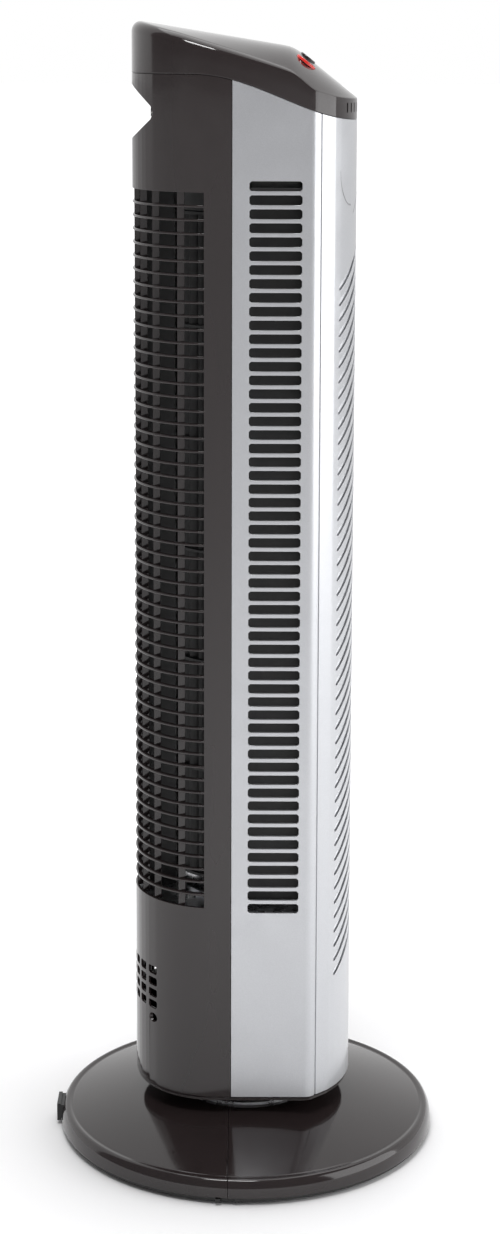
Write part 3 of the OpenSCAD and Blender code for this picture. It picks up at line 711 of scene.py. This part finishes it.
def fin_strips():
    """Upright fins behind the bars, one in the middle and the others in pairs."""
    points, faces = [], []
    half, tip, taper, overlap = FIN_THICK / 2, 0.4, 0.5, 0.5
    section = [(-half, 0), (half, 0), (half, taper - FIN_DEPTH)]
    section += [(tip, -FIN_DEPTH), (-tip, -FIN_DEPTH), (-half, taper - FIN_DEPTH)]
    n = len(section)
    for x in FIN_X:
        y = BACK_Y + math.sqrt((HALF_W - FIN_INSET) ** 2 - (x + half) ** 2)
        for s in (-1, 1) if x else (1,):
            base = len(points)
            for z in (GRILLE_Z0 - overlap, GRILLE_Z1 + overlap):
                points.extend((s * x + dx, y + dy, z) for dx, dy in section)
            for k in range(n):
                a, b = base + k, base + (k + 1) % n
                faces.append((a, b, b + n, a + n))
            faces.append(tuple(base + k for k in reversed(range(n))))
            faces.append(tuple(base + n + k for k in range(n)))
    return mesh_object("rear_grille_fins", points, faces, "charcoal_gloss")


# ---------------------------------------------------------------- front panel


def louvre_lift(x):
    """How far a louvre's line has risen at a distance x from the middle."""
    return LOUVRE_RISE * (LOUVRE_X1 - min(LOUVRE_X1, max(LOUVRE_X0, abs(x))))


def front_outline():
    """The front from left to right, with columns at the louvres' ends."""
    xs = [-BEVEL_X, -55.5, -LOUVRE_X1, -LOUVRE_X1 + LOUVRE_END]
    xs += [*range(-45, -5, 5), -LOUVRE_X0 - LOUVRE_END, -LOUVRE_X0]
    xs += [-x for x in reversed(xs)]
    side = [bevel_point(SPLIT_Y - SPLIT_GAP / 2), bevel_point(-65)]
    return mirrored(side[::-1]) + bow_column(xs) + side[::-1]


def front_panel():
    """The bowed silver front with two rows of rising louvre slots."""
    outline = front_outline()
    xs = [round(c[0], 3) for c in outline]
    rows, starts = [], []
    for k in range(LOUVRES):
        low = LOUVRE_Z0 + k * LOUVRE_PITCH
        starts.append(len(rows) + 3)
        rows += [low, low + LOUVRE_R, low + LOUVRE_H - LOUVRE_R, low + LOUVRE_H]
    left = xs.index(-LOUVRE_X1), xs.index(-LOUVRE_X0)
    right = xs.index(LOUVRE_X0), xs.index(LOUVRE_X1)

    def column(x, y):
        lift, top = louvre_lift(x), seam_z(y) - CAP_GAP
        mid = [z + lift for z in rows]
        below = [BODY_Z, BODY_Z + 1.5 + (mid[0] - BODY_Z) * 0.1, BODY_Z + (mid[0] - BODY_Z) * 0.6]
        above = [mid[-1] + (top - mid[-1]) * t for t in (0.3, 0.7, 1.0)]
        return [(x, y, z) for z in below + mid + above]

    columns = [column(x, y) for x, y, _, _ in outline]
    obj = grid_object("front_shell", columns, window_kind([left, right], starts), "silver_paint")
    solidify(obj)
    round_edges(obj, 0.35)
    smooth(obj)
    return place(obj, "column", "silver_paint", "front_panel")


def louvre_slats():
    """Slanted slats behind the front panel, one rising behind each row of slots."""
    points, faces = [], []
    xs = [LOUVRE_X0 - 1, *range(8, 50, 6), LOUVRE_X1 + 1.2]
    section = [(1.9, 1.6), (5.2, 8.9), (5.8, 9.9), (4.8, 10.4), (1.9, 3.8)]  # inward depth, height
    for k in range(LOUVRES):
        z = LOUVRE_Z0 + k * LOUVRE_PITCH - (LOUVRE_PITCH - LOUVRE_H) / 2
        for side in (-1, 1):
            line = bow_column([side * x for x in (xs if side > 0 else xs[::-1])])
            path = [(x, y, nx, ny, z + louvre_lift(x)) for x, y, nx, ny in line]
            sweep_section(points, faces, path, section)
    obj = mesh_object("louvre_slats", points, faces, "silver_paint")
    smooth(obj, 40)
    return place(obj, "column", "silver_paint")


def split_liners():
    """The silver floor of the groove between each side panel and the front."""
    points, faces = [], []
    half, shallow, deep = 1.4, 0.8, 1.9
    rows = [BODY_Z + 0.5, 300.0, 600.0, seam_z(SPLIT_Y) - 0.6]
    for s in (-1, 1):
        base = len(points)
        for z in rows:
            for dy, d in ((-half, shallow), (half, shallow), (half, deep), (-half, deep)):
                x, y, nx, ny = bevel_point(SPLIT_Y + dy)
                points.append((s * (x - nx * d), y - ny * d, z))
        for r in range(len(rows) - 1):
            low = base + 4 * r
            faces += [(low + k, low + (k + 1) % 4, low + (k + 1) % 4 + 4, low + k + 4) for k in range(4)]
        faces += [(base + 3, base + 2, base + 1, base), (base + 12, base + 13, base + 14, base + 15)]
    obj = mesh_object("split_liners", points, faces, "silver_paint")
    return place(obj, "column", "silver_paint")


def swoosh():
    """Plain decorative curves above the louvres, inlaid in the front."""
    points, faces = [], []
    proud, section = 0.12, [(0.5, -1.1), (0.5, 1.1), (0, 0.6), (0, -0.6)]
    hook = [(50.5, 846), (50, 838), (47.5, 829), (43, 822), (38, 818.5), (33, 818)]
    tail = [(26, 811), (20, 816.5), (13, 821.5), (6, 826.5)]
    for line in (relax(hook), relax(tail)):
        for side in (-1, 1):
            path = []
            ordered = line if side < 0 else line[::-1]
            for x, z in ordered:
                px, py, nx, ny = bow_column([side * x])[0]
                path.append((px + nx * proud, py + ny * proud, nx, ny, z))
            sweep_section(points, faces, path, section)
    obj = mesh_object("front_swoosh", points, faces, "grey_plastic")
    smooth(obj, 40)
    return place(obj, "column", "grey_plastic")


# ---------------------------------------------------------------- cap


def cap_half():
    """The right half of the cap's outline, from the back middle to the front middle."""
    back = arc_points(0, BACK_Y, HALF_W, QUARTER, 0, 26)
    flat = flat_column([18, 12, 6, 0, -6, -12, -18, -24, -29, -34, -38, -42, -46])
    front_x = [BEVEL_X, 54, 50, 46, 42, 38, 34, 30, 26, 22, 18, 14, 10, 6, 3, 0]
    bow = bow_column(front_x)
    corner = corner_column(8)[::-1]
    bevel = [bevel_point(-60), bevel_point(-65)]
    return back + flat + corner + bevel + bow


def shoulder_r(y):
    """Radius of the rounded edge between the cap's wall and its roof."""
    t = min(1.0, max(0.0, (y + 60) / 110))
    return 2.2 + 6.3 * t * t * (3 - 2 * t)


def cap_column(x, y, nx, ny):
    """Points of one cap column: up the wall, round the shoulder, across to the middle."""
    r = shoulder_r(y)
    edge_x, edge_y = x - nx * r, y - ny * r
    top = roof_z(edge_x, edge_y)
    low = seam_z(y)
    shape = [(x, y, low + (top - r - low) * t) for t in (0, 0.04, 0.5, 1)]
    round_steps, roof_steps = 8, 14
    for k in range(1, round_steps + 1):
        a = QUARTER * k / round_steps
        d = r * (1 - math.cos(a))
        px, py = x - nx * d, y - ny * d
        lift = roof_z(px, py) - top
        shape.append((px, py, top - r + r * math.sin(a) + lift * (k / round_steps)))
    for k in range(1, roof_steps + 1):
        px = edge_x * (1 - k / roof_steps)
        shape.append((px, edge_y, roof_z(px, edge_y)))
    return shape


def panel_matrix(x):
    """Places a part on the control panel, with its local Z along the panel's normal."""
    sag = -CROWN_FRONT * (x / HALF_W) ** 2 * math.cos(SLOPE)
    mid = Vector((0, (BROW_Y + FRONT_Y) / 2, (BROW_Z + LIP_Z) / 2)) * MM
    turn = Matrix.Rotation(SLOPE, 4, "X")
    return Matrix.Translation(mid) @ turn @ Matrix.Translation(Vector((x, BUTTON_UP, sag)) * MM)


def on_panel(obj, x):
    """Moves a part that was made about the Z axis to its place x on the control panel."""
    obj.data.transform(panel_matrix(x))
    return obj


def well_cutter(r, depth, x):
    """A round hole of the given depth in the control panel."""
    profile = [(0, -depth), (r, -depth), (r, 20), (0, 20)]
    return on_panel(closed_lathe("cutter", profile, "black_plastic", 48), x)


def cap_cutters():
    """The four button holes, the light ring's pocket and the slits in the front lip."""
    found = [well_cutter(BUTTON_R + 0.45, 9, x) for x in BUTTON_X.values()]
    found.append(well_cutter(BUTTON_R + 2.4, 1.4, BUTTON_X["power"]))
    return found + [slit_cutter(math.radians(k * 5.3)) for k in range(-5, 6)]


def slit_cutter(angle):
    """An upright slit with cut corners through the cap's front lip."""
    half, z0, z1, run, rise = 1.1, 893.5, 901.5, 0.6, 0.8
    outline = [(-half, z0 + rise), (-half + run, z0), (half - run, z0), (half, z0 + rise)]
    outline += [(half, z1 - rise), (half - run, z1), (-half + run, z1), (-half, z1 - rise)]
    obj = prism_cutter(outline, -BOW_R - 3, -BOW_R + 5)
    obj.data.transform(Matrix.Translation((0, BOW_Y * MM, 0)) @ Matrix.Rotation(angle, 4, "Z"))
    return obj


def top_cap():
    """The cap: its right half and the mirrored left half, with the panel's holes cut."""
    columns = [cap_column(*c) for c in cap_half()]
    points, faces = [point for column in columns for point in column], []
    n = len(columns[0])
    for j in range(len(columns) - 1):
        for i in range(n - 1):
            faces.append((j * n + i, j * n + i + 1, (j + 1) * n + i + 1, (j + 1) * n + i))
    size = len(points)
    points += [(-x, y, z) for x, y, z in points]
    faces += [tuple(v + size for v in reversed(f)) for f in faces]
    obj = mesh_object("cap_shell", points, faces, "charcoal_gloss")
    solidify(obj, even=False)
    bake(obj)
    cut(obj, cap_cutters())
    round_edges(obj, 0.3, 40)
    smooth(obj, 32)
    return place(obj, "column", "charcoal_gloss", "top_cap")


def buttons():
    """The four keys, each with a dished face, a flange under the panel and a stem."""
    face = [(0, 0.75), (3.0, 0.8), (5.2, 1.0), (6.1, 1.18), (6.6, 1.12), (6.9, 0.85)]
    body = [(BUTTON_R, 0.4), (BUTTON_R, -5.6), (8.1, -5.6), (2, -5.6), (2, -11), (0, -11)]
    for label, x in BUTTON_X.items():
        name = f"{label}_button"
        obj = on_panel(lathe(f"{label}_key", face + body, "button_gloss", 64), x)
        smooth(obj, 40)
        place(obj, name, "button_gloss", name)


def light_ring():
    """The translucent ring round the power button."""
    profile = [(7.5, -1.4), (7.5, 0.3), (7.7, 0.6), (8.1, 0.78)]
    profile += [(8.8, 0.78), (9.1, 0.6), (9.25, 0.3), (9.25, -1.4)]
    obj = on_panel(closed_lathe("power_ring", profile, "red_light", 72), BUTTON_X["power"])
    smooth(obj, 50)
    return place(obj, "column", "red_light", "power_light_ring")


# ---------------------------------------------------------------- base


def dome_z(r):
    """Height of the base's dome at a radius."""
    share = (1 - (r / DOME_R) ** 2) / (1 - (HUB_R / DOME_R) ** 2)
    return RIM_Z + (HUB_Z - RIM_Z) * share


def base_profile():
    """Closed section of the base shell as (radius, height)."""
    wall = [(BASE_R - 2.6, 6), (BASE_R - 0.6, 6), (BASE_R, 6.6), (BASE_R - 0.1, 10), (BASE_R - 0.9, 15.4)]
    rim = [(RIM_R + 3.0, 18.8), (RIM_R + 1.4, 20.8), (RIM_R - 0.6, 21.4), (RIM_R - 2.4, 21.1)]
    rim += [(RIM_R - 3.4, 20.6), (RIM_R - 4.6, 20.6), (DOME_R, 21.0)]
    radii = [DOME_R - (DOME_R - HUB_R) * k / DOME_STEPS for k in range(1, DOME_STEPS + 1)]
    outer = relax(wall + rim) + [(r, dome_z(r)) for r in radii] + [(46, HUB_Z), (BASE_BORE_R, HUB_Z)]
    inner = [(BASE_BORE_R, HUB_Z - BASE_WALL), (HUB_R, HUB_Z - BASE_WALL)]
    inner += [(r, dome_z(r) - BASE_WALL) for r in (80, 100, 120, 140, 150)]
    return outer + inner + [(155, 17), (BASE_R - 3.4, 8)]


def base_half(name, front, node):
    """One half of the base's shell, cut from the whole ring at the joint across it."""
    obj = closed_lathe(name, base_profile(), "charcoal_gloss", 224)
    bm = bmesh.new()
    bm.from_mesh(obj.data)
    side = -1 if front else 1
    bmesh.ops.recalc_face_normals(bm, faces=bm.faces)
    found = bmesh.ops.bisect_plane(
        bm,
        geom=bm.verts[:] + bm.edges[:] + bm.faces[:],
        plane_co=(0, (BASE_JOINT_Y + side * SEAM) * MM, 0),
        plane_no=(0, -side, 0),
        clear_outer=True,
    )
    edges = [e for e in found["geom_cut"] if isinstance(e, bmesh.types.BMEdge)]
    bmesh.ops.holes_fill(bm, edges=edges)
    bm.to_mesh(obj.data)
    bm.free()
    if not front:
        cut(obj, [gland_cutter()])
    round_edges(obj, 0.25, 50)
    smooth(obj, 35)
    return place(obj, "base", "charcoal_gloss", node)


def gland_cutter():
    """A box that clears the cord gland in the base's back."""
    points = [(x, y, z) for x in (-12.8, 12.8) for y in (140, 180) for z in (0, 18.4)]
    faces = [(0, 1, 3, 2), (4, 6, 7, 5), (0, 4, 5, 1), (2, 3, 7, 6), (0, 2, 6, 4), (1, 5, 7, 3)]
    return mesh_object("cutter", points, faces, "black_plastic")


def full_outline():
    """The whole column outline, counter-clockwise from the right side's middle."""
    half = [bevel_point(-65), bevel_point(-60)] + corner_column() + flat_column([-20, 12])
    back = back_column([], [])
    bow_steps = 24
    bow = bow_column([BEVEL_X - 2 * BEVEL_X * k / bow_steps for k in range(bow_steps + 1)])[::-1]
    return half + back + mirrored(half) + bow


def column_skirt():
    """The rounded lip under the column's lower edge."""
    outline = full_outline()
    outline.append(outline[0])
    points, faces = [], []
    section = [(8.0, -3.4), (4.4, -3.4), (3.2, -3.0), (1.6, -1.9)]
    section += [(0.9, -1.1), (0.6, -0.5), (0.6, 0.1), (8.0, 0.1)]
    for x, y, nx, ny in outline:
        points += [(x - nx * d, y - ny * d, BODY_Z + h) for d, h in section]
    n = len(section)
    for j in range(len(outline) - 1):
        for s in range(n):
            a, b = j * n + s, j * n + (s + 1) % n
            faces.append((a, a + n, b + n, b))
    obj = mesh_object("column_skirt", points, faces, "charcoal_gloss")
    bm = bmesh.new()
    bm.from_mesh(obj.data)
    bmesh.ops.recalc_face_normals(bm, faces=bm.faces)
    bm.to_mesh(obj.data)
    bm.free()
    smooth(obj, 50)
    return place(obj, "column", "charcoal_gloss")


# ---------------------------------------------------------------- CAD nodes kept


def finish_cad_nodes():
    """Gives each CAD node that stays its material and smooth shading."""
    slots = {row["node"]: row["material_slot"] for row in frame["record"]["subparts"]}
    for name, obj in frame["nodes"].items():
        obj.data.materials.clear()
        obj.data.materials.append(FINISHES[slots[name]])
        if obj.hide_render:
            continue
        obj.data.shade_smooth()
        weld = obj.modifiers.new("weld", "WELD")
        weld.merge_threshold = 1e-6
        split = obj.modifiers.new("split", "EDGE_SPLIT")
        split.split_angle = math.radians(32)


# ---------------------------------------------------------------- studio


def area_light(name, place_at, aim, size, power):
    """A rectangular soft box; places and sizes in metres, power in watts."""
    data = bpy.data.lights.new(name, "AREA")
    data.shape, data.size, data.size_y, data.energy = "RECTANGLE", size[0], size[1], power
    obj = bpy.data.objects.new(name, data)
    bpy.context.scene.collection.objects.link(obj)
    obj.location = place_at
    obj.rotation_euler = (Vector(aim) - Vector(place_at)).to_track_quat("-Z", "Y").to_euler()


def studio_world():
    """Plain white to the camera; reflections see a dim room that is bright towards +X."""
    world = bpy.data.worlds.new("studio")
    bpy.context.scene.world = world
    world.use_nodes = True
    nodes, links = world.node_tree.nodes, world.node_tree.links
    nodes.clear()
    out = nodes.new("ShaderNodeOutputWorld")
    mix = nodes.new("ShaderNodeMixShader")
    seen = nodes.new("ShaderNodeBackground")
    seen.inputs["Color"].default_value = (1, 1, 1, 1)
    seen.inputs["Strength"].default_value = 1.0
    room = nodes.new("ShaderNodeBackground")
    coords = nodes.new("ShaderNodeTexCoord")
    split = nodes.new("ShaderNodeSeparateXYZ")
    ramp = nodes.new("ShaderNodeValToRGB")
    dim, bright = ramp.color_ramp.elements
    dim.position, dim.color = 0.565, (0.21, 0.205, 0.21, 1)
    bright.position, bright.color = 0.585, (0.95, 0.95, 0.95, 1)
    remap = nodes.new("ShaderNodeMapRange")
    remap.inputs["From Min"].default_value = -1
    path = nodes.new("ShaderNodeLightPath")
    links.new(coords.outputs["Generated"], split.inputs["Vector"])
    links.new(split.outputs["X"], remap.inputs["Value"])
    links.new(remap.outputs["Result"], ramp.inputs["Fac"])
    links.new(ramp.outputs["Color"], room.inputs["Color"])
    links.new(path.outputs["Is Camera Ray"], mix.inputs["Fac"])
    links.new(room.outputs["Background"], mix.inputs[1])
    links.new(seen.outputs["Background"], mix.inputs[2])
    links.new(mix.outputs["Shader"], out.inputs["Surface"])


def floor():
    """The pale floor. Its own light grows away from the fan, so that a soft shadow stays there."""
    reach = 40.0
    mesh = bpy.data.meshes.new("floor")
    corners = [(-reach, -reach, 0), (reach, -reach, 0), (reach, reach, 0), (-reach, reach, 0)]
    mesh.from_pydata(corners, [], [(0, 1, 2, 3)])
    obj = bpy.data.objects.new("floor", mesh)
    bpy.context.scene.collection.objects.link(obj)
    s = Shader("studio_floor").base(Roughness=0.9, Specular_IOR_Level=0.0)
    tone = s.ramp(s.noise(3.0, 2.0), (0.94, 0.94, 0.945), (0.95, 0.95, 0.955))
    glow = s.add("ShaderNodeMapRange")
    glow.inputs["To Min"].default_value, glow.inputs["To Max"].default_value = 0.22, 0.74
    s.links.new(s.add("ShaderNodeLightPath").outputs["Is Camera Ray"], glow.inputs["Value"])
    away = s.add("ShaderNodeVectorMath")
    away.operation = "LENGTH"
    s.links.new(s.coords, away.inputs[0])
    fade = s.add("ShaderNodeMapRange")
    fade.inputs["From Min"].default_value, fade.inputs["From Max"].default_value = 0.17, 0.75
    s.links.new(away.outputs["Value"], fade.inputs["Value"])
    both = s.add("ShaderNodeMath")
    both.operation = "MULTIPLY"
    s.links.new(glow.outputs["Result"], both.inputs[0])
    s.links.new(fade.outputs["Result"], both.inputs[1])
    s.drive("Base Color", tone).drive("Emission Color", tone)
    s.drive("Emission Strength", both.outputs["Value"])
    mesh.materials.append(s.mat)


def camera():
    """The photographer's view, from the left side of the fan."""
    data = bpy.data.cameras.new("camera")
    data.lens, data.sensor_width = LENS, SENSOR
    data.shift_x, data.shift_y = CAMERA_SHIFT
    data.clip_start, data.clip_end = 0.05, 60
    data.dof.use_dof = False
    obj = bpy.data.objects.new("camera", data)
    bpy.context.scene.collection.objects.link(obj)
    obj.location = CAMERA_AT
    aim = Euler((math.radians(90 - CAMERA_DOWN), 0, -QUARTER)).to_matrix()
    obj.rotation_euler = (aim @ Matrix.Rotation(CAMERA_ROLL, 3, "Z")).to_euler()
    bpy.context.scene.camera = obj


def studio():
    """World, floor, camera and lights."""
    bpy.context.scene.view_settings.view_transform = "Standard"
    studio_world()
    floor()
    camera()
    area_light("overhead", (0.5, -0.2, 2.9), (0, 0, 0.2), (2.2, 2.2), 22)
    area_light("right_box", (-0.75, -2.75, 1.1), (0, 0, 0.6), (2.6, 2.2), 45)
    area_light("cap_box", (-1.0, 0.28, 2.6), (-0.068, 0.042, 0.95), (1.0, 0.42), 24)


side_panel("left_side_shell", True, "left_side_panel")
side_panel("right_side_shell", False, "right_side_panel")
rear_housing()
rear_grille()
front_panel()
louvre_slats()
split_liners()
swoosh()
top_cap()
buttons()
light_ring()
base_half("base_front_shell", True, "base_front_half")
base_half("base_rear_shell", False, "base_rear_half")
column_skirt()
finish_cad_nodes()
studio()
